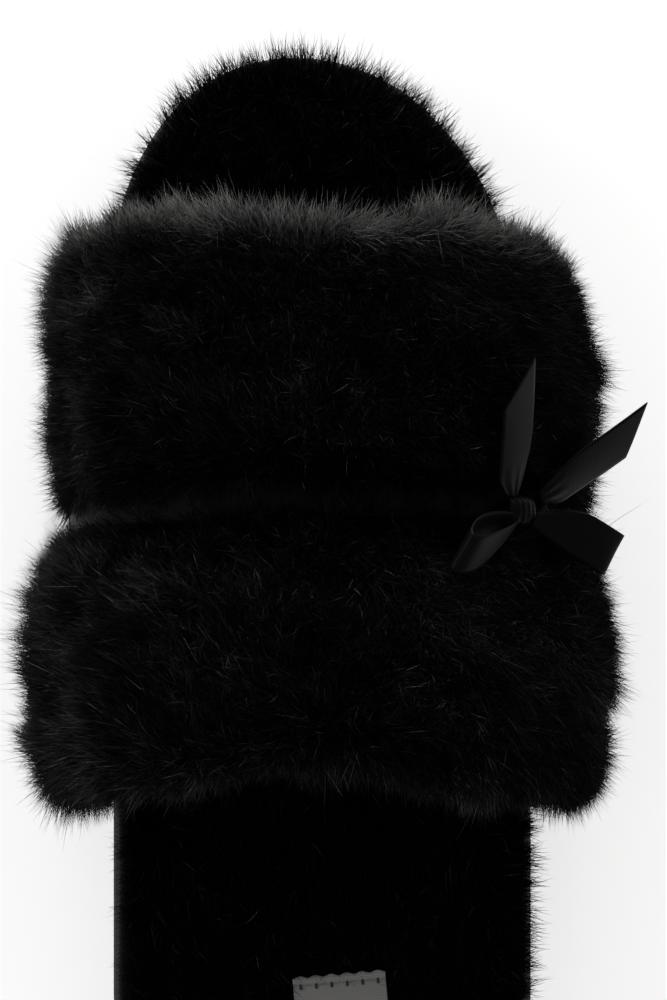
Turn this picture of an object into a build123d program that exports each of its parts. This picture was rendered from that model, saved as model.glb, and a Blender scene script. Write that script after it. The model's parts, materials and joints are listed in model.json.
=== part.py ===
"""Right-foot fluffy slide slipper: a wrapped sole, a padded fur band over the foot, and a ribbon bow.

Frame: +Z up, toe towards +Y, outer side of the foot towards +X.
Origin: on the outsole's flat underside, midway between heel and toe.
"""
from build123d import *
import math
import os

# Sole: outline at the wrap tape's outer face, then the layers from the floor up. The toe is a chain
# of tangent arcs from the inner to the outer side, each (radius, degrees turned before it, degrees).
half_length = 131.0
half_width = 46.2
toe_start = 82.0
toe_arcs = [(52.0, 0, 40), (36.0, 40, 50), (42.0, 90, 40), (62.0, 130, 32), (None, 162, 18)]
outsole_rim = 1.6
outsole_top = 5.0
midsole_top = 15.0
board_top = 16.5
foam_top = 21.0
tape_wall = 1.2
tape_lip = 3.0
footbed_pile_top = 28.0
margin_width = 14.0
margin_thickness = 1.5

# Outsole tread: shallow wavy grooves that stop short of the rim.
groove_pitch = 9.0
groove_width = 2.4
groove_depth = 1.8
groove_wave = 2.2
groove_margin = 7.0

# Upper: the band over the foot, measured on the inner face of its lining.
front_edge = 93.5
rear_edge = -36.0
crease_y = 26.0
tunnel_half_width_front = 50.0
tunnel_half_width_rear = 54.5
tunnel_top_front = 50.0
tunnel_top_rear = 74.0
lining_thickness = 1.5
seat_grow = 3.5
turned_edge = 8.0
arch_fullness = 0.88

# Ribbon and bow.
ribbon_width = 10.0
ribbon_thickness = 0.8
strip_thickness = 0.6
groove_clearance = 0.5
knot_size = (6.4, 6.4, 6.4)
knot_along_ribbon = 0.712
bow_dish_radius = 27.0
bow_dish_height = 5.2

# Woven label sewn on the footbed near the heel.
label_size = (21.0, 34.0)
label_thickness = 0.8
label_place = (5.2, -95.0)
label_turn = 5.0
label_sink = 3.2
stitch_radius = 0.3


def inward(curve, inset, count=9):
    """Curve parallel to a plan curve that runs clockwise, moved to its right by the inset."""
    if not inset:
        return curve
    points = []
    for i in range(count):
        t = i / (count - 1)
        heading = curve % t
        points.append(curve @ t + Vector(heading.Y, -heading.X) * inset)
    return Spline(points, tangents=[curve % 0, curve % 1])


def sole_outline(inset=0.0):
    """Plan of the sole; a positive inset shrinks it, a negative one grows it."""
    half = half_width - inset
    start = Vector(-half, toe_start)
    heading = Vector(0, 1)
    edges = []
    width_left = 2 * half_width
    for radius, turned, turn in toe_arcs:
        if radius is None:
            radius = width_left / (1 - math.cos(math.radians(turn)))
        from_angle = math.radians(turned)
        to_angle = math.radians(turned + turn)
        width_left -= radius * (math.cos(from_angle) - math.cos(to_angle))
        edges.append(JernArc(start, heading, radius - inset, -turn))
        start = edges[-1] @ 1
        heading = edges[-1] % 1
    heel_y = half_width - half_length
    edges.append(Line(start, (half, heel_y)))
    edges.append(ThreePointArc((half, heel_y), (0, inset - half_length), (-half, heel_y)))
    edges.append(Line((-half, heel_y), (-half, toe_start)))
    return make_face(Curve() + edges)


def slab(plan, low, high):
    """Straight-sided solid of a plan between two heights."""
    return extrude(Pos(0, 0, low) * plan, amount=high - low)


def tiers(levels):
    """Solid through the sole's outline at several (inset, height) levels."""
    return Solid.make_loft([(Pos(0, 0, z) * sole_outline(inset)).wire() for inset, z in levels], ruled=True)


def outsole():
    body = tiers([(-outsole_rim, 0), (-outsole_rim, outsole_top - 1.2), (-0.9, outsole_top)])
    rows = int(half_length / groove_pitch)
    waves = Sketch()
    for row in range(-rows, rows):
        y = (row + 0.5) * groove_pitch
        points = [(x, y + groove_wave * (-1) ** i) for i, x in enumerate(range(-50, 51, 10))]
        waves += trace(Spline(points), groove_width)
    field = sole_outline(groove_margin) & waves
    grooves = extrude(field, amount=groove_depth)
    return body - grooves


def margins(extra=0.0):
    """Turned-in flanges of the lining, glued between the outsole and the midsole."""
    length = front_edge - rear_edge - 2 * turned_edge - 10 + 2 * extra
    middle = (front_edge + rear_edge) / 2
    strip = Box(margin_width + 6 + extra, length, margin_thickness)
    place = half_width + 3 - margin_width / 2
    pair = Pos(-place, middle, outsole_top + margin_thickness / 2) * strip
    pair += Pos(place, middle, outsole_top + margin_thickness / 2) * strip
    return pair


def midsole():
    return slab(sole_outline(tape_wall), outsole_top, midsole_top) - margins(0.2)


def insole_board():
    return slab(sole_outline(tape_wall + 0.8), midsole_top, board_top)


def footbed_foam():
    return slab(sole_outline(tape_wall + 0.3), board_top, foam_top)


def footbed_fur():
    """Fur sock over the foam: fabric and the height of its pile, pressed flat under the label."""
    edge = tape_lip + 0.2
    pile = tiers([(edge, foam_top), (edge, footbed_pile_top - 3), (edge + 1.2, footbed_pile_top - 0.9),
                  (edge + 3.6, footbed_pile_top)])
    pocket_size = (label_size[0] + 1, label_size[1] + 1)
    pocket = Box(*pocket_size, label_sink, align=(Align.CENTER, Align.CENTER, Align.MAX))
    return pile - label_location() * Pos(0, 0, label_sink) * pocket


def sole_tape():
    """Ribbed tape round the sole's side, folded in over the footbed's edge."""
    wall = slab(sole_outline(), outsole_top, foam_top) - slab(sole_outline(tape_wall), 0, foam_top)
    lip = slab(sole_outline(), foam_top, foam_top + tape_wall)
    lip -= slab(sole_outline(tape_lip), foam_top, foam_top + tape_wall)
    margin_slots = margins(0.2)
    return wall + lip - margin_slots


def label_location():
    """Place of the label's underside on the pressed pile."""
    x, y = label_place
    return Pos(x, y, footbed_pile_top - label_sink) * Rot(0, 0, label_turn)


def heel_label():
    plate = Box(*label_size, label_thickness, align=(Align.CENTER, Align.CENTER, Align.MIN))
    return label_location() * fillet(plate.edges().filter_by(Axis.Z), 0.6)


def heel_label_stitches():
    """Thread bars over the label's two folded ends."""
    bars = Part()
    bar = Rot(90, 0, 0) * Cylinder(stitch_radius, 2.6)
    count = 6
    for end in (-1, 1):
        for i in range(count):
            x = (i - (count - 1) / 2) * label_size[0] / count
            y = end * (label_size[1] / 2 - 2)
            bars += label_location() * Pos(x, y, label_thickness + stitch_radius) * bar
    return bars


def along(y):
    """0 at the upper's front edge, 1 at its rear edge."""
    return (front_edge - y) / (front_edge - rear_edge)


def blend(start, end, y):
    return start + (end - start) * along(y)


def arch(y, side=0.0, top=0.0, foot=0.0, foot_z=outsole_top):
    """Curve over the foot at station y, grown from the tunnel at its sides, top and feet."""
    towards_toe = (max(y - 20, 0) / 74) ** 2
    shift = -2.6 * towards_toe
    widest = blend(tunnel_half_width_front, tunnel_half_width_rear, y) + side
    crown = blend(tunnel_top_front, tunnel_top_rear, y) + top
    narrow = half_width + 0.5 - 2.0 * towards_toe + foot
    waist = 0.4 * crown + 4
    points = [(shift - narrow, y, foot_z)]
    for angle in (180, 150, 120, 90, 60, 30, 0):
        across = math.cos(math.radians(angle))
        up = math.sin(math.radians(angle))
        x = math.copysign(abs(across) ** arch_fullness, across)
        points.append((shift + widest * x, y, waist + (crown - waist) * up**arch_fullness))
    points.append((shift + narrow, y, foot_z))
    return Spline(points)


def dome(stations):
    """Solid under arches at several stations; each entry is (y, side, top, foot, foot_z)."""
    wires = []
    for station in stations:
        over = arch(*station)
        wires.append(Wire([over, Edge.make_line(over @ 1, over @ 0)]))
    return Solid.make_loft(wires)


def shell_dome(grow):
    """Even layer outside the tunnel, running past both ends of the upper."""
    return dome([(y, grow, grow, grow, outsole_top) for y in (112, 66, 20, -56)])


def upper_plan(inset=0.0):
    """Plan of the upper: its front edge falls back at the sides, its rear edge runs back there."""
    front = Spline((-78, 58), (-53, 85.5), (-36, front_edge), (31, front_edge), (46, 85.5), (74, 56))
    rear = Spline((74, -28), (54, -40), (0, rear_edge + 4.5), (-53, -40), (-78, -28))
    front = inward(front, inset)
    rear = inward(rear, inset)
    right = Line(front @ 1, rear @ 0)
    left = Line(rear @ 1, front @ 0)
    return make_face(Curve() + [front, right, rear, left])


def within(plan, low=0.0, high=130.0):
    return slab(plan, low, high)


def without_inner_space(body):
    """The body without the room for the foot and the sole."""
    return body - shell_dome(0) - slab(sole_outline(), outsole_top, footbed_pile_top)


def upper_lining():
    """Lining of the foot space, with the flanges that are glued under the midsole."""
    body = shell_dome(lining_thickness) & within(upper_plan(turned_edge))
    body -= shell_dome(0) - margins()
    return body - (slab(sole_outline(), outsole_top, footbed_pile_top) - margins())


def front_pad_dome():
    return dome([(33, 2.2, 2.2, 2.2, 10), (43, 5.0, 6.5, 3.2, 10), (63, 5.4, 8.0, 3.4, 10),
                 (82, 4.4, 5.5, 3.0, 10), (94, 2.4, 2.4, 2.2, 10)])


def rear_pad_dome():
    return dome([(19, 2.2, 2.2, 2.2, 10), (9, 5.4, 7.0, 3.2, 10), (-8, 6.4, 8.5, 3.4, 10),
                 (-24, 5.4, 6.5, 3.0, 10), (-40, 2.4, 2.4, 2.2, 10)])


def pad(pad_dome):
    return (pad_dome & within(upper_plan(turned_edge))) - shell_dome(lining_thickness)


def front_fur_dome():
    low = outsole_top + 0.5
    return dome([(crease_y, 4.4, 4.4, 4.4, low), (34, 8.2, 9.0, 5.0, low), (44, 10.2, 13.5, 5.4, low),
                 (63, 10.8, 15.0, 5.6, low), (82, 9.4, 12.5, 5.4, low), (97, 3.6, 6.0, 3.8, low)])


def rear_fur_dome():
    low = outsole_top + 0.5
    return dome([(crease_y, 4.4, 4.4, 4.4, low), (18, 8.4, 9.5, 5.0, low), (8, 11.8, 14.0, 5.4, low),
                 (-10, 12.8, 16.0, 5.6, low), (-27, 12.2, 13.0, 5.4, low), (-44, 7.0, 4.5, 4.4, low)])


def ribbon_lane(clearance):
    """Slab of space that the ribbon runs in, across the slipper at the crease."""
    return Pos(0, crease_y, 60) * Box(180, ribbon_width + 2 * clearance, 160)


def bow_plane():
    """Plane on the ribbon where the knot sits: x along the ribbon, y to the toe, z outwards."""
    grow = seat_grow + ribbon_thickness
    over = arch(crease_y, grow, grow, grow, outsole_top)
    return Plane(origin=over @ knot_along_ribbon, x_dir=over % knot_along_ribbon,
                 z_dir=(over % knot_along_ribbon).cross(Vector(0, 1, 0)))


def bow_dish():
    """Room above the pile that the bow presses flat."""
    dish = Cylinder(bow_dish_radius, 60, align=(Align.CENTER, Align.CENTER, Align.MIN))
    return bow_plane().location * Pos(0, 0, bow_dish_height) * dish


def fur(fur_dome, pad_dome, side):
    """Fur panel of one puff: it wraps the pad, turns in at its edge and meets the seam in the crease."""
    half = Pos(0, crease_y + side * 100, 60) * Box(200, 200, 160)
    body = fur_dome & within(upper_plan()) & half
    groove = ribbon_lane(groove_clearance) - shell_dome(seat_grow)
    covered = within(upper_plan(turned_edge)) & (shell_dome(lining_thickness) + pad_dome)
    return without_inner_space(body - groove - covered) - bow_dish()


def ribbon_band():
    band = shell_dome(seat_grow + ribbon_thickness) - shell_dome(seat_grow)
    return band & ribbon_lane(0)


def seam_stitches():
    """Thread bars of the seam that joins both fur panels under the ribbon."""
    over = arch(crease_y, 2.6, 2.6, 2.6, outsole_top)
    bars = Part()
    count = 13
    for i in range(count):
        t = 0.1 + 0.8 * i / (count - 1)
        place = Plane(origin=over @ t, x_dir=over % t, z_dir=Vector(0, 1, 0))
        bars += place.location * Cylinder(stitch_radius, 3)
    return bars


def bow_knot():
    knot = fillet(Box(*knot_size).edges(), 1.6)
    placed = bow_plane().location * Pos(0, 0, knot_size[2] / 2 - 0.4) * knot
    return placed - shell_dome(seat_grow + ribbon_thickness)


def bow_place(start, tip, across):
    """Place in the bow's frame: local X from start to tip, local Y close to the across direction."""
    run = Vector(*tip) - Vector(*start)
    face = run.cross(Vector(*across))
    return bow_plane().location * Plane(origin=start, x_dir=run, z_dir=face).location


def strip(section):
    """Ribbon as wide as the real one, from its lengthwise section drawn in the local XZ plane."""
    return Rot(90, 0, 0) * extrude(section, amount=ribbon_width / 2, both=True)


def pinched(length, cut=0.0):
    """Plan of a strip that is gathered at the knot and cut at a slant at its free end."""
    half = ribbon_width / 2
    return make_face(Polyline((-2, -2.2), (length * 0.35, -half), (length + 1, -half), (length + 1 - cut, half),
                              (length * 0.35, half), (-2, 2.2), close=True))


def tail(length, rise):
    """Ribbon end: it arches by rise and ends in a slanted cut."""
    path = Spline((0, 0), (length * 0.45, rise), (length, rise * 0.8))
    return strip(trace(path, strip_thickness)) & extrude(pinched(length - 1.6, 8.4), amount=20, both=True)


def teardrop(length, height, inset):
    """Outline of a ribbon loop seen edge on, or of the space inside it."""
    side = height / 2 - inset
    points = [(inset * 1.5, 0), (length * 0.65, side), (length - inset, 0), (length * 0.65, -side)]
    return make_face(Spline(points, periodic=True))


def loop(length, height):
    """Ribbon loop: a teardrop tube whose narrow end is at the knot."""
    tube = strip(teardrop(length, height, 0) - teardrop(length, height, strip_thickness))
    return tube & extrude(pinched(length), amount=20, both=True)


def bow_tail_front():
    return bow_place((-1.2, 3.6, 5.0), (-0.8, 33.5, 9.2), (-1, 0, 0.34)) * tail(30, 1.6)


def bow_tail_side():
    return bow_place((4.2, 3.2, 5.0), (27.8, 23.5, 12.0), (0.6, -0.7, -0.45)) * tail(32, -1.2)


def bow_loop_left():
    return bow_place((-3.8, -2.6, 8.4), (-15.2, -6.6, 13.2), (0.17, -0.95, 0)) * loop(12.6, 6.0)


def bow_loop_right():
    return bow_place((3.9, -2.8, 7.4), (22.7, -9.7, 10.4), (0.35, 0.93, 0)) * loop(20, 3.6)


NODES = {
    "outsole": outsole,
    "midsole": midsole,
    "insole_board": insole_board,
    "footbed_foam": footbed_foam,
    "footbed_fur": footbed_fur,
    "sole_tape": sole_tape,
    "heel_label": heel_label,
    "heel_label_stitches": heel_label_stitches,
    "upper_lining": upper_lining,
    "upper_pad_front": lambda: pad(front_pad_dome()),
    "upper_pad_rear": lambda: pad(rear_pad_dome()),
    "upper_fur_front": lambda: fur(front_fur_dome(), front_pad_dome(), 1),
    "upper_fur_rear": lambda: fur(rear_fur_dome(), rear_pad_dome(), -1),
    "crease_seam_stitches": seam_stitches,
    "ribbon_band": ribbon_band,
    "bow_knot": bow_knot,
    "bow_loop_left": bow_loop_left,
    "bow_loop_right": bow_loop_right,
    "bow_tail_front": bow_tail_front,
    "bow_tail_side": bow_tail_side,
}

os.makedirs("parts", exist_ok=True)
for name, make in NODES.items():
    export_step(make(), f"parts/{name}.step")
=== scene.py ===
"""Looks of the fluffy slide slipper: puffed fur bands with real pile, ribbon bow, label, tape and sole."""
import json
import math

import bmesh
import bpy
import numpy as np
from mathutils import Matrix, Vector
from mathutils.bvhtree import BVHTree
from mathutils.geometry import convex_hull_2d


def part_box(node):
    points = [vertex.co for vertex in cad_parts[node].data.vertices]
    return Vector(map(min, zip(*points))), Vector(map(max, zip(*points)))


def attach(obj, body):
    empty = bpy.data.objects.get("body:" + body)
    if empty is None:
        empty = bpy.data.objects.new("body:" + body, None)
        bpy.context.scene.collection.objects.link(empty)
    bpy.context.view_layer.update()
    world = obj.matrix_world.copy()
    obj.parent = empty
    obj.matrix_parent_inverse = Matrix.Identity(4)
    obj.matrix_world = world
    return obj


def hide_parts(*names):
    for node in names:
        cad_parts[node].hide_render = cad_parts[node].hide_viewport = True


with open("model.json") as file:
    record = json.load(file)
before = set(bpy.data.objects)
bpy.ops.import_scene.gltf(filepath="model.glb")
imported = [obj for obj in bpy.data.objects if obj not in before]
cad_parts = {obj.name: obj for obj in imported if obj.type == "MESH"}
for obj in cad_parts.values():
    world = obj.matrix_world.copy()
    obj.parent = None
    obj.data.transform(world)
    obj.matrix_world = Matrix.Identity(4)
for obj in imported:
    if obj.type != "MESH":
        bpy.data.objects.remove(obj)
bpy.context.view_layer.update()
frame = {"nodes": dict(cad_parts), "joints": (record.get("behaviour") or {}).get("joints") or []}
MM = 0.001

# View and light. The floor gives off part of its own light, as a light table does.
VIEW_CENTRE = (2.6 * MM, 28.5 * MM)
VIEW_DISTANCE = 1.45
VIEW_HEIGHT = 0.2299
SENSOR_WIDTH = 36.0
WORLD_STRENGTH = 0.26
FLOOR_GLOW = 0.69
FLOOR_REACH = 4.0

# Upper: sizes of the puffs' skins below the height of the pile.
AXIS_HEIGHT = 26 * MM
FOOT_ANGLE = -21.0
PILE_DEPTH = 5.6 * MM
LANE_HALF = 3.7 * MM
LANE_CLEAR = 5.8 * MM
EDGE_ROOM_FRONT = (4.8 * MM, 9.3 * MM)
EDGE_ROOM_REAR = (5.8 * MM, 5.2 * MM)
LINING_ROOM = 1.7 * MM
THINNEST_PUFF = 2.2 * MM
SECTION_POWER_ALONG = 0.72
SECTION_POWER_UP = 0.8
LUMP_SIZE = 9 * MM
LUMP_HEIGHT = 0.45 * MM
SKIN_COLUMNS = 72
SKIN_ROWS = 48

# Swelling of the skins, and the wadding's place inside them.
SWELL_PRESSURE = 3.0
SWELL_LIMIT = 1.8 * MM
SWELL_FRAMES = 20
WAD_THICKNESS = 0.74
WAD_SHRINK = 0.95

# Pile. RINGS are the stations of a strand's rings, as shares of its length, and TAPER their thickness.
PIECE_STRANDS = 12000
UPPER_STRANDS = 100000
FOOTBED_STRANDS = 60000
EDGE_STRANDS = 16000
UPPER_LENGTH = 6.3 * MM
FOOTBED_LENGTH = 6.0 * MM
RINGS = (0.0, 0.38, 0.72)
TAPER = (1.0, 0.85, 0.55)

# Bow, in millimetres in its own frame (along the ribbon, to the toe, out): hinge of the front tail, then each
# tail's start, tip and direction across it. A loop has a start and a tip, then its width and its rise.
FRONT_HINGE = (-1.2, 3.6, 5.0)
TAIL_FRONT = ((-3.0, 3.5, 5.2), (-5.0, 33.3, 9.6), (-1, 0, 0.3))
TAIL_SIDE = ((4.2, 3.1, 5.2), (29.6, 21.6, 12.0), (-0.6, 0.7, 0.45))
LOOP_LEFT = ((-2.4, -1.8, 6.8), (-17.0, -5.0, 9.4))
LOOP_LEFT_WIDTH = (-3.9, -8.4, -2.8)
LOOP_LEFT_RISE = (-0.37, -0.7, 0.6)
LOOP_RIGHT = ((2.4, -2.8, 5.0), (20.8, -12.8, 7.0))
LOOP_RIGHT_WIDTH = (3.2, 8.8, 3.4)
LOOP_RIGHT_RISE = (0.05, -0.2, 0.98)
RIBBON_WIDTH = 10 * MM
RIBBON_THICKNESS = 0.32 * MM
PRESS_RADIUS = 29 * MM
PRESS_HEIGHT = 4.4 * MM
LOOP_COVER = 5.0 * MM


# ---------------------------------------------------------------- materials

def new_material(name, color, roughness, specular=0.5, sheen=0.0):
    material = bpy.data.materials.new(name)
    material.use_nodes = True
    shader = material.node_tree.nodes["Principled BSDF"]
    shader.inputs["Base Color"].default_value = (*color, 1)
    shader.inputs["Roughness"].default_value = roughness
    shader.inputs["Specular IOR Level"].default_value = specular
    shader.inputs["Sheen Weight"].default_value = sheen
    shader.inputs["Sheen Roughness"].default_value = 0.4
    return material, material.node_tree, shader


def link(tree, source, output, target, entry):
    tree.links.new(source.outputs[output], target.inputs[entry])


def color_mix(tree, factor, factor_output, dark, light):
    """Colour between two tones, chosen by a texture's value."""
    ramp = tree.nodes.new("ShaderNodeValToRGB")
    ramp.color_ramp.elements[0].color = (*dark, 1)
    ramp.color_ramp.elements[1].color = (*light, 1)
    link(tree, factor, factor_output, ramp, "Fac")
    return ramp


def noise(tree, scale):
    texture = tree.nodes.new("ShaderNodeTexNoise")
    texture.inputs["Scale"].default_value = scale
    texture.inputs["Detail"].default_value = 4.0
    place = tree.nodes.new("ShaderNodeTexCoord")
    link(tree, place, "Object", texture, "Vector")
    return texture


def bump(tree, shader, source, output, strength, distance):
    node = tree.nodes.new("ShaderNodeBump")
    node.inputs["Strength"].default_value = strength
    node.inputs["Distance"].default_value = distance
    link(tree, source, output, node, "Height")
    link(tree, node, "Normal", shader, "Normal")


def strip_waves(tree, map_name, direction, scale):
    """Fine parallel lines along or across a strip's own map."""
    place = tree.nodes.new("ShaderNodeUVMap")
    place.uv_map = map_name
    lines = tree.nodes.new("ShaderNodeTexWave")
    lines.wave_type = "BANDS"
    lines.bands_direction = direction
    lines.inputs["Scale"].default_value = scale
    lines.inputs["Distortion"].default_value = 0.6
    lines.inputs["Detail"].default_value = 2.0
    link(tree, place, "UV", lines, "Vector")
    return lines


def mottled(name, dark, light, roughness, scale, bump_scale, bump_distance, specular=0.5):
    """Material with small differences of tone and a fine grain."""
    material, tree, shader = new_material(name, light, roughness, specular)
    patches = noise(tree, scale)
    link(tree, color_mix(tree, patches, "Fac", dark, light), "Color", shader, "Base Color")
    grain = noise(tree, bump_scale)
    bump(tree, shader, grain, "Fac", 0.6, bump_distance)
    return material


def satin(name, dark, light):
    """Black satin ribbon: fine lines across it, soft gloss."""
    material, tree, shader = new_material(name, light, 0.4, 0.09, 0.01)
    weft = strip_waves(tree, "strip", "X", 0.42)
    link(tree, color_mix(tree, weft, "Fac", dark, light), "Color", shader, "Base Color")
    bump(tree, shader, weft, "Fac", 0.35, 0.05 * MM)
    return material


def hair_tones(name, tones, roughness, specular):
    """One plain material for each tone of hair; the pile's variety is in its strands."""
    return [new_material(f"{name}_{i + 1}", tone, roughness, specular)[0] for i, tone in enumerate(tones)]


def woven_label(name):
    material, tree, shader = new_material(name, (0.09, 0.088, 0.086), 0.75, 0.3, 0.2)
    across = strip_waves(tree, "strip", "X", 0.9)
    along = strip_waves(tree, "strip", "Y", 0.9)
    weave = tree.nodes.new("ShaderNodeMath")
    weave.operation = "MULTIPLY"
    link(tree, across, "Fac", weave, 0)
    link(tree, along, "Fac", weave, 1)
    yarn = color_mix(tree, weave, 0, (0.3, 0.295, 0.29), (0.54, 0.53, 0.52))
    link(tree, yarn, "Color", shader, "Base Color")
    bump(tree, shader, weave, 0, 0.6, 0.08 * MM)
    return material


MATERIALS = {
    "rubber": mottled("outsole_rubber", (0.012, 0.012, 0.013), (0.024, 0.024, 0.025),
                      0.72, 60, 1500, 0.05 * MM),
    "foam": mottled("midsole_foam", (0.03, 0.03, 0.031), (0.05, 0.05, 0.052), 0.85, 90, 2600, 0.1 * MM),
    "board": mottled("insole_board", (0.3, 0.25, 0.18), (0.46, 0.39, 0.29), 0.9, 120, 3000, 0.08 * MM),
    "soft_foam": mottled("soft_foam", (0.42, 0.4, 0.35), (0.56, 0.54, 0.49), 0.95, 80, 2200, 0.2 * MM),
    "backing": mottled("pile_backing", (0.0006, 0.0006, 0.0006), (0.0016, 0.0016, 0.0016),
                       1.0, 90, 2400, 0.1 * MM, 0.02),
    "lining": mottled("lining_knit", (0.006, 0.006, 0.006), (0.014, 0.014, 0.015),
                      0.95, 70, 2600, 0.15 * MM, 0.2),
    "wadding": mottled("wadding", (0.5, 0.5, 0.49), (0.72, 0.72, 0.7), 1.0, 60, 900, 0.4 * MM, 0.2),
    "tape": mottled("ribbed_tape", (0.002, 0.002, 0.002), (0.006, 0.006, 0.006),
                    0.7, 400, 3500, 0.05 * MM, 0.08),
    "thread": mottled("thread", (0.02, 0.02, 0.02), (0.05, 0.05, 0.05), 0.6, 900, 4000, 0.03 * MM),
    "satin": satin("satin_ribbon", (0.0018, 0.0018, 0.0018), (0.0045, 0.0045, 0.0045)),
    "label": woven_label("woven_label"),
}
# Five tones of hair, from the darkest; the lightest mostly stands for painted highlight on the front rim, the
# others for random tone.
TONES = [(0.002, 0.002, 0.002), (0.006, 0.006, 0.006), (0.02, 0.0196, 0.019),
         (0.06, 0.0585, 0.057), (0.2, 0.196, 0.192)]
UPPER_HAIR = hair_tones("upper_hair", TONES, 0.5, 0.06)
FOOTBED_TONES = [(0.9 * r, 0.85 * g, 0.8 * b) for r, g, b in TONES]
FOOTBED_HAIR = hair_tones("footbed_hair", FOOTBED_TONES, 0.55, 0.04)


# ---------------------------------------------------------------- mesh helpers

def add_object(name, vertices, faces, materials, body="slipper"):
    mesh = bpy.data.meshes.new(name)
    mesh.from_pydata([tuple(v) for v in vertices], [], faces)
    edit = bmesh.new()
    edit.from_mesh(mesh)
    bmesh.ops.recalc_face_normals(edit, faces=edit.faces)
    edit.to_mesh(mesh)
    edit.free()
    for material in materials:
        mesh.materials.append(material)
    mesh.shade_smooth()
    made = bpy.data.objects.new(name, mesh)
    bpy.context.scene.collection.objects.link(made)
    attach(made, body)
    return made


def unit(vectors):
    return vectors / np.maximum(np.linalg.norm(vectors, axis=-1, keepdims=True), 1e-9)


def waves(points, size, seed, count=12):
    """Smooth random vectors over space, alike within about one size."""
    rng = np.random.default_rng(seed)
    total = np.zeros_like(points)
    for _ in range(count):
        wave = rng.normal(size=3) / size
        total += np.sin((points @ wave)[:, None] + rng.uniform(0, 2 * math.pi, 3))
    return total / math.sqrt(count / 2)


def tree_of(*names):
    """Search tree over CAD nodes' faces."""
    vertices, faces = [], []
    for name in names:
        mesh = frame["nodes"][name].data
        start = len(vertices)
        vertices += [v.co.copy() for v in mesh.vertices]
        faces += [[start + i for i in p.vertices] for p in mesh.polygons]
    return BVHTree.FromPolygons(vertices, faces)


def outer_radius(tree, y, angle):
    """Distance from the upper's axis to a node's outer face, or None where it has none."""
    out = Vector((math.cos(angle), 0, math.sin(angle)))
    axis = Vector((0, y, AXIS_HEIGHT))
    hit = tree.ray_cast(axis + out * 0.2, -out, 0.199)[0]
    return None if hit is None else (hit - axis).length


def inner_radius(tree, y, angle):
    """Distance from the upper's axis to the first face met, or None where there is none."""
    out = Vector((math.cos(angle), 0, math.sin(angle)))
    axis = Vector((0, y, AXIS_HEIGHT))
    hit = tree.ray_cast(axis, out, 0.2)[0]
    return None if hit is None else (hit - axis).length


# ---------------------------------------------------------------- upper

ribbon_low, ribbon_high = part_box("ribbon_band")
CREASE_Y = (ribbon_low.y + ribbon_high.y) / 2
ANGLES = np.radians(np.linspace(FOOT_ANGLE, 180 - FOOT_ANGLE, SKIN_COLUMNS))
TUNNEL = tree_of("upper_lining", "upper_fur_front", "upper_fur_rear")


def smooth_rows(table, passes):
    """The table with each column's jumps evened out along the arch."""
    for _ in range(passes):
        padded_table = np.vstack([table[:1], table, table[-1:]])
        table = (padded_table[:-2] + 2 * padded_table[1:-1] + padded_table[2:]) / 4
    return table


def crease_at(angle):
    """Where the crease runs at an angle round the arch: it bows towards the toe over the instep."""
    return CREASE_Y - 2.0 * MM + 6.0 * MM * max(0.0, math.sin(angle)) ** 1.5


def measure_puff(node, side):
    """Where one puff lies: for each angle its stations, outer radii and tunnel radii."""
    tree = tree_of(node)
    low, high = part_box(node)
    lane_end = CREASE_Y + side * LANE_CLEAR
    limit = high.y if side > 0 else low.y
    stations, outer, inner = [], [], []
    for angle in ANGLES:
        start = crease_at(angle) + side * LANE_HALF
        line = [(y, outer_radius(tree, side * max(side * y, side * lane_end), angle))
                for y in np.linspace(start, limit, 90)]
        line = [(y, r) for y, r in line if r is not None]
        ys = np.linspace(line[0][0], line[-1][0], 40)
        rs = np.interp(ys * side, [y * side for y, _ in line], [r for _, r in line])
        ts = []
        for y in ys:
            radius = inner_radius(TUNNEL, y, angle)
            ts.append(radius if radius is not None else ts[-1])
        stations.append(ys)
        outer.append(rs)
        inner.append(ts)
    return [smooth_rows(np.array(t), 3) for t in (stations, outer, inner)]


def puff_grid(measured):
    """Closed pillow bent over the foot: its points as columns round the arch and rows round its section."""
    stations, outer, inner = measured
    turn = np.linspace(0, 2 * math.pi, SKIN_ROWS, endpoint=False)
    along = np.sign(np.cos(turn)) * np.abs(np.cos(turn)) ** SECTION_POWER_ALONG
    up = np.sign(np.sin(turn)) * np.abs(np.sin(turn)) ** SECTION_POWER_UP
    grid = np.zeros((SKIN_COLUMNS, SKIN_ROWS, 3))
    for i, angle in enumerate(ANGLES):
        ys = stations[i]
        side = 1 if ys[-1] > ys[0] else -1
        near = ys[0]
        low_room, high_room = EDGE_ROOM_FRONT if side > 0 else EDGE_ROOM_REAR
        far = ys[-1] - side * (low_room + (high_room - low_room) * max(0.0, math.sin(angle)) ** 2.5)
        y = (near + far) / 2 + (far - near) / 2 * along
        top = np.interp(y * side, ys * side, outer[i]) - PILE_DEPTH
        bottom = np.interp(y * side, ys * side, inner[i]) + LINING_ROOM
        radius = bottom + np.maximum(top - bottom, THINNEST_PUFF) * (up + 1) / 2
        grid[i, :, 0] = radius * math.cos(angle)
        grid[i, :, 1] = y
        grid[i, :, 2] = AXIS_HEIGHT + radius * math.sin(angle)
    return grid


def closed_tube_faces(columns, rows):
    """Faces of a tube of points closed at both ends; each column is one ring."""
    faces = []
    for i in range(columns - 1):
        for j in range(rows):
            k = (j + 1) % rows
            faces.append((i * rows + j, (i + 1) * rows + j, (i + 1) * rows + k, i * rows + k))
    faces.append(tuple(range(rows)))
    faces.append(tuple((columns - 1) * rows + j for j in reversed(range(rows))))
    return faces


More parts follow.
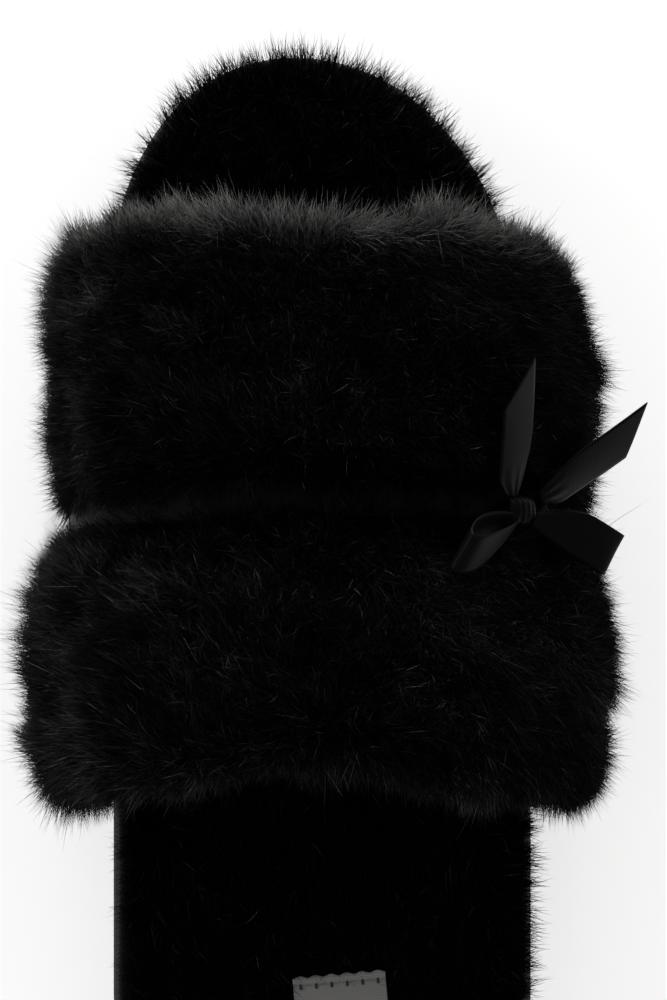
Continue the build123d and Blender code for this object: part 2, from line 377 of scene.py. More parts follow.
def inflate(piece, grid):
    """Lets a pillow swell as cloth held at its feet and its inner side; returns the moved grid."""
    group = piece.vertex_groups.new(name="held")
    rows = grid.shape[1]
    held = [i * rows + j for i in range(grid.shape[0]) for j in range(rows)
            if i in (0, grid.shape[0] - 1) or j > rows * 0.55]
    group.add(held, 1.0, "REPLACE")
    cloth = piece.modifiers.new("swell", "CLOTH")
    settings = cloth.settings
    settings.quality = 6
    settings.mass = 0.25
    settings.tension_stiffness = 12
    settings.compression_stiffness = 12
    settings.shear_stiffness = 4
    settings.bending_stiffness = 0.4
    settings.use_pressure = True
    settings.uniform_pressure_force = SWELL_PRESSURE
    settings.vertex_group_mass = "held"
    settings.effector_weights.gravity = 0
    cloth.point_cache.frame_start = 1
    cloth.point_cache.frame_end = SWELL_FRAMES
    for number in range(1, SWELL_FRAMES + 1):
        bpy.context.scene.frame_set(number)
    posed = piece.evaluated_get(bpy.context.evaluated_depsgraph_get())
    moved = np.array([v.co for v in posed.data.vertices]).reshape(grid.shape)
    piece.modifiers.remove(cloth)
    piece.vertex_groups.remove(group)
    step = moved - grid
    length = np.linalg.norm(step, axis=2, keepdims=True)
    grid = grid + step * np.minimum(1, SWELL_LIMIT / np.maximum(length, 1e-9))
    piece.data.vertices.foreach_set("co", grid.reshape(-1).astype(np.float32))
    piece.data.update()
    bpy.context.scene.frame_set(1)
    return grid


def puff(node, side):
    """Backing of one fur puff and the wadding inside it."""
    measured = measure_puff(node, side)
    grid = puff_grid(measured)
    points = grid.reshape(-1, 3)
    lumps = waves(points, LUMP_SIZE, 11 + side)[:, :1] * LUMP_HEIGHT
    out = points - np.array((0, 0, AXIS_HEIGHT))
    out[:, 1] = 0
    outer_rows = np.tile(np.arange(SKIN_ROWS) < SKIN_ROWS / 2, SKIN_COLUMNS)[:, None]
    grid = (points + unit(out) * lumps * outer_rows).reshape(grid.shape)
    faces = closed_tube_faces(SKIN_COLUMNS, SKIN_ROWS)
    backing = add_object(f"{node}_backing", grid.reshape(-1, 3), faces, [MATERIALS["backing"]])
    grid = inflate(backing, grid)
    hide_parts(node)
    facing = np.roll(grid[:, ::-1], 1, axis=1)
    thinner = grid * WAD_THICKNESS + facing * (1 - WAD_THICKNESS)
    middle = thinner.mean(axis=1, keepdims=True)
    wad_grid = (middle + (thinner - middle) * WAD_SHRINK)[1:-1]
    wad_faces = closed_tube_faces(SKIN_COLUMNS - 2, SKIN_ROWS)
    wad = add_object(f"{node}_wadding", wad_grid.reshape(-1, 3), wad_faces, [MATERIALS["wadding"]])
    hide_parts(node.replace("fur", "pad"))
    return grid


# ---------------------------------------------------------------- pile

def hair_mesh(name, lines, widths, tones, materials):
    """Tapered three-sided strands; lines holds each strand's points from root to tip."""
    count, stops = lines.shape[:2]
    aim = unit(lines[:, -1] - lines[:, 0])
    side = unit(np.cross(aim, np.array((0.31, 0.52, 0.79))))
    other = np.cross(aim, side)
    rings = stops - 1
    vertices = np.zeros((count, rings * 3 + 1, 3), np.float32)
    for k in range(rings):
        radius = (widths * TAPER[k] / 2)[:, None]
        for corner in range(3):
            angle = 2 * math.pi * corner / 3
            around = side * math.cos(angle) + other * math.sin(angle)
            vertices[:, k * 3 + corner] = lines[:, k] + around * radius
    vertices[:, -1] = lines[:, -1]
    pattern = [(2, 1, 0)]
    for k in range(rings - 1):
        for corner in range(3):
            a = k * 3 + corner
            b = k * 3 + (corner + 1) % 3
            pattern += [(a, b, b + 3), (a, b + 3, a + 3)]
    last = (rings - 1) * 3
    pattern += [(last + c, last + (c + 1) % 3, rings * 3) for c in range(3)]
    pattern = np.array(pattern)
    per_strand = rings * 3 + 1
    faces = pattern[None] + (np.arange(count) * per_strand)[:, None, None]
    mesh = bpy.data.meshes.new(name)
    mesh.vertices.add(count * per_strand)
    mesh.vertices.foreach_set("co", vertices.reshape(-1))
    total = count * len(pattern)
    mesh.loops.add(total * 3)
    mesh.loops.foreach_set("vertex_index", faces.reshape(-1).astype(np.int32))
    mesh.polygons.add(total)
    mesh.polygons.foreach_set("loop_start", np.arange(0, total * 3, 3, dtype=np.int32))
    for material in materials:
        mesh.materials.append(material)
    mesh.polygons.foreach_set("material_index", np.repeat(tones, len(pattern)).astype(np.int32))
    mesh.update()
    mesh.shade_smooth()
    made = bpy.data.objects.new(name, mesh)
    bpy.context.scene.collection.objects.link(made)
    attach(made, "slipper")


def strand_lines(roots, aims, bends, curls, lengths):
    """Points of each strand: it starts along its aim and turns over towards its bend."""
    stops = [*RINGS, 1.0]
    lines = np.zeros((len(roots), len(stops), 3))
    for k, s in enumerate(stops):
        offset = aims * s + bends * s * s + curls * math.sin(s * math.pi * 1.4) * 0.5
        lines[:, k] = roots + offset * lengths[:, None]
    return lines


def pick_tones(lightness, rng):
    """A tone for each strand: mostly the darkest, with more light ones where lightness is high."""
    level = lightness + rng.normal(size=len(lightness)) * 0.17 + 0.4 * (rng.random(len(lightness)) < 0.04)
    return np.digitize(level, (0.12, 0.34, 0.56, 0.82))


def grow(name, lines, widths, tones, materials, order):
    """Pile as several pieces of a moderate size, each a stretch of neighbouring strands."""
    line_up = np.argsort(order)
    pieces = max(1, math.ceil(len(lines) / PIECE_STRANDS))
    for number, chosen in enumerate(np.array_split(line_up, pieces)):
        hair_mesh(f"{name}_{number + 1}", lines[chosen], widths[chosen], tones[chosen], materials)


def bow_frame():
    """The bow's own frame, from the hinge of its front tail: origin and three directions."""
    joint = next(j for j in frame["joints"] if j["child"] == "tail_front")
    along = Vector(joint["axis"]).normalized()
    to_toe = Vector((0, 1, 0))
    out = along.cross(to_toe)
    start = Vector(FRONT_HINGE) * MM
    origin = Vector(joint["pos_m"]) - along * start.x - to_toe * start.y - out * start.z
    return origin, along, to_toe, out


BOW_ORIGIN, BOW_ALONG, BOW_TOE, BOW_OUT = bow_frame()


def press_under_bow(lines):
    """Flattens the strands that the bow lies on."""
    local = lines - np.array(BOW_ORIGIN)
    height = local @ np.array(BOW_OUT)
    along = local[:, :1] @ np.array(BOW_ALONG)
    to_heel = -local[:, :1] @ np.array(BOW_TOE)
    away = np.hypot(along, to_heel)[:, 0]
    near = np.clip((PRESS_RADIUS + 4 * MM - away) / (4 * MM), 0, 1)
    over_loop = np.clip((to_heel - 5 * MM) / (3 * MM), 0, 1) * np.clip((along - 2 * MM) / (3 * MM), 0, 1)
    ceiling = PRESS_HEIGHT + over_loop * LOOP_COVER
    lowered = np.minimum(height, np.maximum(ceiling, height[:, :1]) + 0.12 * np.maximum(height - ceiling, 0))
    change = (lowered - height) * near[:, None]
    return lines + change[:, :, None] * np.array(BOW_OUT)


def puff_pile(name, grid, side, seed):
    """The fur of one puff, combed as on the real one."""
    rng = np.random.default_rng(seed)
    rows = grid.shape[1]
    next_row = np.roll(grid, -1, axis=1)
    a, b = grid[:-1], grid[1:]
    c, d = next_row[:-1], next_row[1:]
    area = np.linalg.norm(np.cross(b - a, c - a), axis=2)
    row = np.arange(rows)
    outside = (row < rows * 0.54) | (row > rows * 0.9)
    rim = (row < rows * 0.06) | (row > rows * 0.9)
    weight = (area * outside[None] * (1 + 0.8 * rim)).reshape(-1)
    picked = rng.choice(len(weight), UPPER_STRANDS, p=weight / weight.sum())
    i, j = picked // rows, picked % rows
    u, v = rng.random((2, UPPER_STRANDS, 1))
    roots = (a[i, j] * (1 - u) + b[i, j] * u) * (1 - v) + (c[i, j] * (1 - u) + d[i, j] * u) * v
    step_column = b[i, j] - a[i, j]
    step_row = c[i, j] - a[i, j]
    normals = unit(np.cross(step_column, step_row))
    centre = np.zeros_like(roots)
    centre[:, 1] = roots[:, 1]
    centre[:, 2] = AXIS_HEIGHT
    outward = unit(roots - centre)
    top_rows = (j > rows * 0.05) & (j < rows * 0.45)
    at_edge = (j < rows * 0.2) | (j > rows * 0.8)
    past_edge = normals[:, 1] * np.where(at_edge, side, -side)
    facing = np.sign(np.where(top_rows, (normals * outward).sum(1), past_edge))
    normals *= np.where(facing == 0, 1, facing)[:, None]
    edge_y = grid[:, 0, 1][i]
    crease_y = grid[:, rows // 2, 1][i]
    gaps = np.abs(roots[:, 1] - edge_y), np.abs(roots[:, 1] - crease_y)
    comb_puff(name, roots, normals, outward, gaps, side, rng)


def puff_lean(outward, edge_share, crease_share, side):
    """The way a puff's strands are combed: outwards on its sides, over its edge and into the crease."""
    left = np.clip(-outward[:, :1] * 1.6, 0, 1)
    right = np.clip(outward[:, :1] * 1.6, 0, 1)
    if side > 0:
        lean = left * np.array((-0.45, 0.25, 0.1)) + right * np.array((0.25, -0.25, -0.1))
    else:
        lean = left * np.array((-0.5, 0.4, 0.1)) + right * np.array((0.1, -0.6, -0.2))
    lean = lean * (1 - edge_share) + edge_share * np.array((0, 0.7 * side, -0.1))
    over_crease = -0.75 if side > 0 else 0.05
    return lean * (1 - crease_share) + crease_share * np.array((0, over_crease, 0.2))


def puff_tone_and_painted_light(roots, aims, outward, edge_share, crease_share, side):
    """Tone level of a puff's strands: a random spread, painted shade that darkens the crease, painted
    highlight where the front edge faces up towards the toe light, painted light on the rear puff's left side,
    and a little lighter at the rear edge.
    """
    lightness = 0.2 + 0.06 * waves(roots, 9 * MM, 8)[:, 0] + 0.08 * waves(roots, 1.6 * MM, 9)[:, 0]
    if side > 0:
        # Painted highlight: front-edge strands that face up and out get lighter tones, standing in for the
        # toe light on the rim.
        facing_up = np.clip((aims * outward).sum(1) * 1.6, 0, 1) * np.clip(outward[:, 2] + 0.45, 0.2, 1)
        lightness += 1.0 * edge_share[:, 0] * facing_up
    else:
        # Painted light: the rear puff's left side gets slightly lighter tones; its rear edge is made a little
        # lighter too.
        left = np.clip(-outward[:, 0] * 1.6, 0, 1)
        lightness += 0.02 * left + 0.1 * edge_share[:, 0]
    # Painted shade: strands in the crease get darker tones.
    return lightness - 0.25 * crease_share[:, 0]


def comb_puff(name, roots, normals, outward, gaps, side, rng):
    """Directions, lengths and tones of one puff's strands."""
    count = len(roots)
    edge_gap, crease_gap = gaps
    edge_share = np.clip(1 - edge_gap / (6 * MM), 0, 1)[:, None]
    crease_share = np.clip(1.2 - crease_gap / (6 * MM), 0, 1)[:, None]
    lean = puff_lean(outward, edge_share, crease_share, side)
    tufts = waves(roots, 1.3 * MM, 3) * 0.28 + waves(roots, 5 * MM, 4) * 0.3 + waves(roots, 16 * MM, 5) * 0.2
    loose = rng.normal(size=(count, 3)) * 0.26
    aims = unit(normals * 0.75 + outward * 0.35 + lean * 0.7 + tufts * 0.55 + loose)
    sinking = (aims * normals).sum(1, keepdims=True)
    aims = unit(aims + normals * np.clip(0.25 - sinking, 0, 1))
    bends = lean * 0.35 + tufts * 0.3 + rng.normal(size=(count, 3)) * 0.22 + np.array((0, 0, -0.1))
    curls = rng.normal(size=(count, 3)) * 0.2
    lengths = UPPER_LENGTH * rng.uniform(0.7, 1.06, count) * (1 + 0.12 * waves(roots, 4 * MM, 6)[:, 0])
    strays = rng.random(count) < 0.004
    lengths = np.where(strays, lengths * 1.35, lengths)
    lines = press_under_bow(strand_lines(roots, aims, bends, curls, lengths))
    lines[:, :, 2] = np.maximum(lines[:, :, 2], 1.2 * MM)
    widths = rng.uniform(0.13, 0.24, count) * MM
    # The tones carry painted highlight, painted light and painted shade as well as random tone.
    tones = pick_tones(puff_tone_and_painted_light(roots, aims, outward, edge_share, crease_share, side), rng)
    angle = np.arctan2(roots[:, 2] - AXIS_HEIGHT, roots[:, 0])
    grow(name, lines, widths, tones, UPPER_HAIR, angle)


# ---------------------------------------------------------------- sole

def sole_outline(count):
    """Evenly spaced points round the sole's tape, with the outward direction at each."""
    mesh = frame["nodes"]["sole_tape"].data
    flat = [Vector((v.co.x, v.co.y)) for v in mesh.vertices]
    hull = [flat[i] for i in convex_hull_2d(flat)]
    loop = np.array([tuple(p) for p in hull + hull[:1]])
    run = np.concatenate([[0], np.cumsum(np.linalg.norm(np.diff(loop, axis=0), axis=1))])
    at = np.linspace(0, run[-1], count, endpoint=False)
    points = np.stack([np.interp(at, run, loop[:, k]) for k in (0, 1)], axis=1)
    for _ in range(6):
        points = (np.roll(points, 1, 0) + 2 * points + np.roll(points, -1, 0)) / 4
    heading = unit(np.roll(points, -1, 0) - np.roll(points, 1, 0))
    outward = np.stack([heading[:, 1], -heading[:, 0]], axis=1)
    outward *= np.sign((outward * points).sum(1).mean())
    return points, outward, run[-1]


def ribbed_tape():
    """Tape folded round the sole's edge, with its cross ribs."""
    rib_pitch = 1.0 * MM
    per_rib = 4
    length = sole_outline(400)[2]
    count = int(length / rib_pitch) * per_rib
    points, outward, _ = sole_outline(count)
    low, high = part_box("sole_tape")
    top = high.z
    section = [(0, low.z), (-0.3, low.z + 3 * MM), (-0.3, top - 4 * MM), (-0.05, top - 2.2 * MM),
               (0.5, top - 0.8 * MM), (1.3, top - 0.15 * MM), (2.2, top), (3.0, top - 0.1 * MM),
               (3.0, top - 1.1 * MM), (1.0, top - 1.2 * MM), (1.0, low.z)]
    rib = np.cos(2 * math.pi * np.arange(count) / per_rib)
    worn = waves(np.hstack([points, np.zeros((count, 1))]), 12 * MM, 21)[:, 0]
    vertices = np.zeros((count, len(section), 3))
    for k, (inset, z) in enumerate(section):
        raised = 0.16 * MM if k < 8 else 0
        shift = -inset * MM + rib * raised + worn * 0.08 * MM
        vertices[:, k, :2] = points + outward * shift[:, None]
        vertices[:, k, 2] = z + (rib * raised * 0.7 if 4 <= k < 8 else 0)
    rows = len(section)
    faces = []
    for i in range(count):
        n = (i + 1) % count
        for k in range(rows):
            m = (k + 1) % rows
            faces.append((i * rows + k, n * rows + k, n * rows + m, i * rows + m))
    tape = add_object("ribbed_sole_tape", vertices.reshape(-1, 3), faces, [MATERIALS["tape"]])
    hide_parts("sole_tape")


def footbed_backing():
    """The fur sock's cloth over the foam, below its pile: a flat pillow inside the tape's lip."""
    outline, outward, _ = sole_outline(240)
    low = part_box("footbed_fur")[0]
    profile = [(14.0, 0.1), (2.2, 0.1), (1.9, 1.0), (2.2, 1.9), (4.0, 2.7), (14.0, 3.0)]
    vertices = []
    for inset, rise in profile:
        ring = outline - outward * inset * MM
        height = np.full((len(ring), 1), low.z + rise * MM)
        vertices.append(np.hstack([ring, height]))
    count = len(outline)
    faces = []
    for k in range(len(profile) - 1):
        for i in range(count):
            n = (i + 1) % count
            faces.append((k * count + i, k * count + n, (k + 1) * count + n, (k + 1) * count + i))
    faces.append(tuple(reversed(range(count))))
    faces.append(tuple((len(profile) - 1) * count + i for i in range(count)))
    made = add_object("footbed_backing", np.vstack(vertices), faces, [MATERIALS["backing"]])
    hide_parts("footbed_fur")


def label_frame():
    """The label's middle, two directions, width, length and top, from its CAD node."""
    mesh = frame["nodes"]["heel_label"].data
    points = np.array([v.co for v in mesh.vertices])
    middle = points.mean(0)
    flat = points[:, :2] - middle[:2]
    spread = np.linalg.eigh(flat.T @ flat)[1]
    along = spread[:, 1] * np.sign(spread[1, 1])
    across = np.array((along[1], -along[0]))
    width = np.abs(flat @ across).max() * 2
    length = np.abs(flat @ along).max() * 2
    return middle, across, along, width, length, points[:, 2].max()


LABEL = label_frame()


def footbed_pile():
    """Pile of the footbed: it lies towards the heel and spreads over the edge; its toe edge carries a painted
    highlight.
    """
    rng = np.random.default_rng(77)
    outline, outward, _ = sole_outline(600)
    inset = 2.9 * MM
    border = outline - outward * inset
    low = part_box("footbed_fur")[0]
    reach = np.abs(border).max(0)
    tries = rng.uniform(-1, 1, (FOOTBED_STRANDS * 3, 2)) * reach
    seam = rng.integers(0, len(border), EDGE_STRANDS)
    at_edge = border[seam] - outward[seam] * rng.uniform(0, 2.0 * MM, (EDGE_STRANDS, 1))
    angle = np.arctan2(tries[:, 1], tries[:, 0])
    border_angle = np.arctan2(border[:, 1], border[:, 0])
    order = np.argsort(border_angle)
    radius = np.interp(angle, border_angle[order], np.linalg.norm(border, axis=1)[order], period=2 * math.pi)
    kept = np.linalg.norm(tries, axis=1) < radius
    hidden = (tries[:, 1] > -12 * MM) & (tries[:, 1] < 72 * MM)
    kept &= ~hidden | (rng.random(len(tries)) < 0.3)
    middle, across, along, width, length, _ = LABEL
    local = tries - middle[:2]
    under = (np.abs(local @ across) < width / 2 - 0.6 * MM) & (np.abs(local @ along) < length / 2 - 0.6 * MM)
    plan = np.vstack([at_edge, tries[kept & ~under][:FOOTBED_STRANDS - EDGE_STRANDS]])
    gap = np.linalg.norm(plan[:, None] - border[None, ::6], axis=2)
    nearest = gap.argmin(1)
    edge = np.clip(1 - gap.min(1) / (7 * MM), 0, 1)[:, None]
    out = outward[::6][nearest]
    roots = np.hstack([plan, np.full((len(plan), 1), low.z + 2.6 * MM)])
    roots[:, 2] -= (edge[:, 0] ** 2) * 1.4 * MM
    lean = np.zeros_like(roots)
    lean[:, 1] = -0.55
    toe = np.clip((plan[:, 1] - 60 * MM) / (30 * MM), 0, 1)[:, None]
    right_side = (plan[:, :1] > 0) * 1.0
    spread = np.maximum(toe, 0.25 + 0.75 * right_side)
    lean[:, :2] = lean[:, :2] * (1 - edge) + out * edge * 1.3 * spread
    lean[:, 1:2] += toe * 0.35
    tufts = (waves(roots, 1.5 * MM, 31) * 0.3 + waves(roots, 7 * MM, 32) * 0.3) * (1 - 0.6 * edge)
    tufts[:, 2] *= 0.4
    count = len(roots)
    aims = unit(lean + tufts + np.array((0, 0, 0.75)) + rng.normal(size=(count, 3)) * 0.22)
    aims[:, 2] = np.maximum(aims[:, 2], 0.12)
    bends = lean * 0.3 + rng.normal(size=(count, 3)) * 0.2 + np.array((0, 0, -0.28))
    curls = rng.normal(size=(count, 3)) * 0.16
    lengths = FOOTBED_LENGTH * rng.uniform(0.6, 1.15, count)
    past_side = np.abs((plan - middle[:2]) @ across) - width / 2
    past_end = np.abs((plan - middle[:2]) @ along) - length / 2
    near_label = np.clip(1 - np.maximum(past_side, past_end) / (3 * MM), 0, 1)
    lengths *= 1 - 0.45 * near_label
    lines = strand_lines(roots, aims, bends, curls, lengths)
    widths = rng.uniform(0.15, 0.28, count) * MM
    # Painted highlight: strands on the footbed's edge at the toe end get lighter tones, standing in for the
    # toe light.
    painted_toe_highlight = np.clip((plan[:, 1] - 88 * MM) / (10 * MM), 0, 1)
    tones = pick_tones(0.02 + 0.3 * edge[:, 0] * painted_toe_highlight + 0.04 * waves(roots, 8 * MM, 33)[:, 0], rng)
    grow("footbed_pile", lines, widths, tones, FOOTBED_HAIR, plan[:, 1])


# ---------------------------------------------------------------- strips, bow and label

def strip_object(name, rows, thickness, material, body, closed=False):
    """Thin closed strip from rows of points across it, with a map along and across in millimetres."""
    rows = np.array(rows)
    count, across = rows.shape[:2]
    back = np.roll(rows, -1, 0) - rows if closed else np.gradient(rows, axis=0)
    side = np.gradient(rows, axis=1)
    normal = unit(np.cross(back, side))
    top = rows + normal * thickness / 2
    bottom = rows - normal * thickness / 2
    vertices = np.concatenate([top.reshape(-1, 3), bottom.reshape(-1, 3)])
    lower = count * across
    faces = []
    last = count if closed else count - 1
    for i in range(last):
        n = (i + 1) % count
        for k in range(across - 1):
            a, b, c, d = i * across + k, n * across + k, n * across + k + 1, i * across + k + 1
            faces.append((a, b, c, d))
            faces.append((lower + d, lower + c, lower + b, lower + a))
        for k, flip in ((0, False), (across - 1, True)):
            a, b = i * across + k, n * across + k
            rim = (b, a, lower + a, lower + b)
            faces.append(rim[::-1] if flip else rim)
    if not closed:
        for i, flip in ((0, True), (count - 1, False)):
            for k in range(across - 1):
                a, b = i * across + k, i * across + k + 1
                rim = (a, lower + a, lower + b, b)
                faces.append(rim if flip else rim[::-1])
    made = add_object(name, vertices, faces, [material], body)
    run = np.concatenate([[0], np.cumsum(np.linalg.norm(np.diff(rows[:, across // 2], axis=0), axis=1))])
    wide = np.linalg.norm(rows[:, -1] - rows[:, 0], axis=1).max()
    chart = made.data.uv_layers.new(name="strip")
    for loop in made.data.loops:
        i, k = divmod(loop.vertex_index % lower, across)
        chart.data[loop.index].uv = (run[i] / MM, k / (across - 1) * wide / MM)
    return made


def from_bow(along, to_toe, out):
    """A point of the row frame from millimetres in the bow's own frame."""
    return np.array(BOW_ORIGIN + (BOW_ALONG * along + BOW_TOE * to_toe + BOW_OUT * out) * MM)


def bow_place(start, tip, across):
    """Maps local millimetres (along, across, out) of a bow strip to the row frame."""
    run = Vector(tip) - Vector(start)
    face = run.cross(Vector(across)).normalized()
    run.normalize()
    wide = face.cross(run)

    def place(x, y, z):
        local = Vector(start) + run * x + wide * y + face * z
        return from_bow(local.x, local.y, local.z)

    return place


def gathered(x, length, ease):
    """Share of the ribbon's width at x: narrow at the knot, full after a share of the length."""
    t = min(max(x / (ease * length), 0), 1)
    return 0.3 + 0.7 * math.sin(t * math.pi / 2)


def bow_tail(name, spec, length, cut, cut_side, rise, node, body):
    """Ribbon end: pinched at the knot, cupped, cut at a long slant on one side."""
    place = bow_place(*spec)
    half = RIBBON_WIDTH / MM / 2
    rows = []
    steps = 48
    across = 15
    for i in range(steps + 1):
        row = []
        for k in range(across):
            v = k / (across - 1) * 2 - 1
            reach = length - cut * (v * cut_side + 1) / 2
            x = reach * i / steps
            t = x / length
            ease = 0.16 if v * cut_side > 0 else 0.5
            y = v * half * gathered(x, length, ease)
            z = rise * math.sin(min(t * 1.15, 1) * math.pi / 2) + 0.7 * (1 - v * v) * (1 - t)
            z -= 0.25 * math.cos(v * 9) * max(0, 1 - t * 4)
            row.append(place(x, y, z))
        rows.append(row)
    tail = strip_object(name, rows, RIBBON_THICKNESS, MATERIALS["satin"], body)
    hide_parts(node)


def bow_loop(name, spec, width, rise, height, node, body):
    """Ribbon loop: a bellied ring of ribbon, laid at a slant, that narrows into the knot."""
    start, tip = Vector(spec[0]), Vector(spec[1])
    run = (tip - start).normalized()
    length = (tip - start).length
    wide, up = Vector(width), Vector(rise).normalized()
    rows = []
    steps = 72
    across = 13
    for i in range(steps):
        turn = 2 * math.pi * i / steps
        x = length / 2 * (1 - math.cos(turn))
        t = x / length
        z = math.sin(turn) * height / 2 * (0.55 + 0.6 * t)
        row = []
        for k in range(across):
            v = k / (across - 1) - 0.15
            local = start + run * x + up * z + wide * v * gathered(x, length, 0.6)
            local += up * 0.12 * math.sin(turn * 3 + 4 * v)
            row.append(from_bow(local.x, local.y, local.z))
        rows.append(row)
    loop = strip_object(name, rows, RIBBON_THICKNESS, MATERIALS["satin"], body, closed=True)
    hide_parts(node)


def knot():
    """Knot: the ribbon's own wrap, gathered into folds across the band."""
    steps, across = 48, 17
    rows = []
    half_along = 3.0
    half_across = 3.1
    height = 6.0
    for i in range(steps):
        turn = 2 * math.pi * i / steps
        row = []
        for k in range(across):
            v = k / (across - 1) * 2 - 1
            swell = 1 - 0.25 * v * v + 0.05 * math.cos(v * 14 + math.sin(turn) * 0.6)
            u = v * half_along
            y = half_across * math.copysign(abs(math.cos(turn)) ** 0.75, math.cos(turn)) * swell
            n = height / 2 + height / 2 * math.copysign(abs(math.sin(turn)) ** 0.75, math.sin(turn)) * swell
            row.append(from_bow(u, y, max(n - 0.2, 0.1)))
        rows.append(row)
    made = strip_object("bow_knot_wrap", rows, 0.6 * MM, MATERIALS["satin"], "slipper", closed=True)
    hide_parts("bow_knot")
    core_grid = np.array(rows)
    centre = core_grid.mean(axis=(0, 1))
    core = centre + (core_grid - centre) * 0.93
    faces = closed_tube_faces(across, steps)
    core = core.transpose(1, 0, 2)
    add_object("bow_knot_core", core.reshape(-1, 3), faces, [MATERIALS["satin"]])


def ribbon_band():
    """Ribbon pulled tight round the upper, down in the crease."""
    tree = tree_of("ribbon_band")
    width = RIBBON_WIDTH - 0.4 * MM
    lift = -0.2 * MM
    ripple = 0.25 * MM
    across = 9
    rows = []
    angles = np.radians(np.linspace(FOOT_ANGLE, 180 - FOOT_ANGLE, 150))
    for i, angle in enumerate(angles):
        row = []
        for k in range(across):
            t = k / (across - 1)
            offset = (t - 0.5) * width
            radius = outer_radius(tree, CREASE_Y + offset, angle)
            radius += lift + ripple * math.sin(i * 0.55 + 2 * t) * (t - 0.5)
            y = crease_at(angle) + offset
            row.append(np.array((radius * math.cos(angle), y, AXIS_HEIGHT + radius * math.sin(angle))))
        rows.append(row)
    made = strip_object("ribbon_round_upper", rows, RIBBON_THICKNESS, MATERIALS["satin"], "slipper")
    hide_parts("ribbon_band")


def lining():
    """Lining of the foot space: a soft skin just outside the tunnel's measured face."""
    low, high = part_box("upper_lining")
    ys = np.linspace(low.y + 4 * MM, high.y - 5 * MM, 40)
    rows = []
    for angle in np.radians(np.linspace(-19, 199, 90)):
        found = [inner_radius(TUNNEL, y, angle) for y in ys]
        good = [(y, r) for y, r in zip(ys, found) if r is not None]
        spread = np.linspace(good[0][0], good[-1][0], len(ys))
        radii = np.interp(spread, [y for y, _ in good], [r for _, r in good]) + 0.75 * MM
        rows.append([np.array((radius * math.cos(angle), y, AXIS_HEIGHT + radius * math.sin(angle)))
                     for y, radius in zip(spread, radii)])
    made = strip_object("foot_space_lining", rows, 1.0 * MM, MATERIALS["lining"], "slipper")
    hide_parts("upper_lining")


def heel_label():
    """Woven label with folded, scalloped ends."""
    middle, across, along, width, length, top = LABEL
    rows = []
    steps, wide = 160, 61
    for i in range(steps):
        t = i / (steps - 1) * 2 - 1
        row = []
        for k in range(wide):
            v = k / (wide - 1) * 2 - 1
            stitch = 0.5 + 0.5 * math.cos(v * math.pi * 6)
            scallop = 0.5 * MM * stitch * max(0, abs(t) - 0.94) / 0.06
            reach = t * (length / 2 - 0.4 * MM) - math.copysign(scallop, t)
            point = np.append(middle[:2] + across * v * (width / 2) + along * reach, top)
            hem = 0.55 * MM * math.sin(min(max(abs(t) - 0.88, 0) / 0.12, 1) * math.pi) ** 0.5
            dip = 0.55 * MM * math.exp(-((abs(t) - 0.885) / 0.02) ** 2) * (0.35 + 0.65 * stitch)
            point[2] += hem - dip + 0.5 * MM * (1 - v * v) * (1 - t * t)
            row.append(point)
        rows.append(row)
    made = strip_object("woven_heel_label", rows, 0.35 * MM, MATERIALS["label"], "slipper")
    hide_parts("heel_label")


# ---------------------------------------------------------------- stage

def area_light(name, place, target, size, watts):
    data = bpy.data.lights.new(name, "AREA")
    data.shape = "RECTANGLE"
    data.size, data.size_y = size
    data.energy = watts
    made = bpy.data.objects.new(name, data)
    made.location = place
    made.rotation_euler = (Vector(target) - Vector(place)).to_track_quat("-Z", "Y").to_euler()
    bpy.context.scene.collection.objects.link(made)


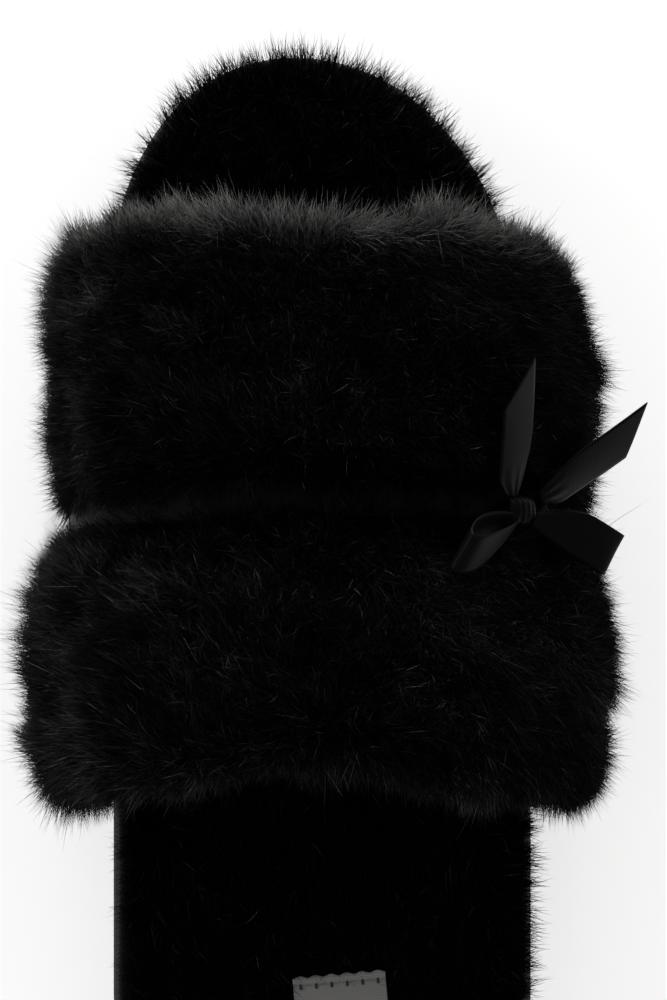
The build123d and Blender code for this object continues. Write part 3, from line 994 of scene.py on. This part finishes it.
def stage():
    scene = bpy.context.scene
    scene.view_settings.view_transform = "Standard"
    world = bpy.data.worlds.new("studio")
    scene.world = world
    world.use_nodes = True
    background = world.node_tree.nodes["Background"]
    background.inputs["Color"].default_value = (1, 1, 1, 1)
    background.inputs["Strength"].default_value = WORLD_STRENGTH
    floor_material, tree, shader = new_material("pale_floor", (0.93, 0.925, 0.92), 0.9, 0.1)
    paper = noise(tree, 25)
    pale = color_mix(tree, paper, "Fac", (0.92, 0.915, 0.91), (0.94, 0.935, 0.93))
    link(tree, pale, "Color", shader, "Base Color")
    shader.inputs["Emission Color"].default_value = (1, 1, 1, 1)
    shader.inputs["Emission Strength"].default_value = FLOOR_GLOW
    floor = bpy.data.meshes.new("floor")
    corners = [(x * FLOOR_REACH, y * FLOOR_REACH, 0) for x, y in ((-1, -1), (1, -1), (1, 1), (-1, 1))]
    floor.from_pydata(corners, [], [(0, 1, 2, 3)])
    floor.materials.append(floor_material)
    ground = bpy.data.objects.new("floor", floor)
    scene.collection.objects.link(ground)
    area_light("key_from_toe", (-0.1, 0.9, 0.16), (0, 0.08, 0.05), (0.7, 0.12), 4.2)
    area_light("fill_from_left", (-1.1, 0.45, 0.6), (0, 0, 0.04), (0.5, 0.5), 1.2)
    lens = bpy.data.cameras.new("camera")
    lens.sensor_width = SENSOR_WIDTH
    lens.lens = SENSOR_WIDTH * VIEW_DISTANCE / VIEW_HEIGHT
    lens.clip_end = 20
    camera = bpy.data.objects.new("camera", lens)
    camera.location = (*VIEW_CENTRE, VIEW_DISTANCE)
    scene.collection.objects.link(camera)
    scene.camera = camera


def repaint(node, material):
    mesh = frame["nodes"][node].data
    mesh.materials.clear()
    mesh.materials.append(material)


stage()
for node, key in (("outsole", "rubber"), ("midsole", "foam"), ("insole_board", "board"),
                  ("footbed_foam", "soft_foam"), ("heel_label_stitches", "thread"),
                  ("crease_seam_stitches", "thread")):
    repaint(node, MATERIALS[key])
front_grid = puff("upper_fur_front", 1)
rear_grid = puff("upper_fur_rear", -1)
lining()
ribbon_band()
knot()
bow_tail("ribbon_tail_front", TAIL_FRONT, 30.2, 11.0, 1, 1.4, "bow_tail_front", "tail_front")
bow_tail("ribbon_tail_side", TAIL_SIDE, 31.6, 9.5, -1, 1.2, "bow_tail_side", "tail_side")
bow_loop("ribbon_loop_left", LOOP_LEFT, LOOP_LEFT_WIDTH, LOOP_LEFT_RISE, 7.6, "bow_loop_left", "loop_left")
bow_loop("ribbon_loop_right", LOOP_RIGHT, LOOP_RIGHT_WIDTH, LOOP_RIGHT_RISE, 3.0, "bow_loop_right",
         "loop_right")
ribbed_tape()
footbed_backing()
heel_label()
footbed_pile()
puff_pile("upper_pile_front", front_grid, 1, 101)
puff_pile("upper_pile_rear", rear_grid, -1, 202)
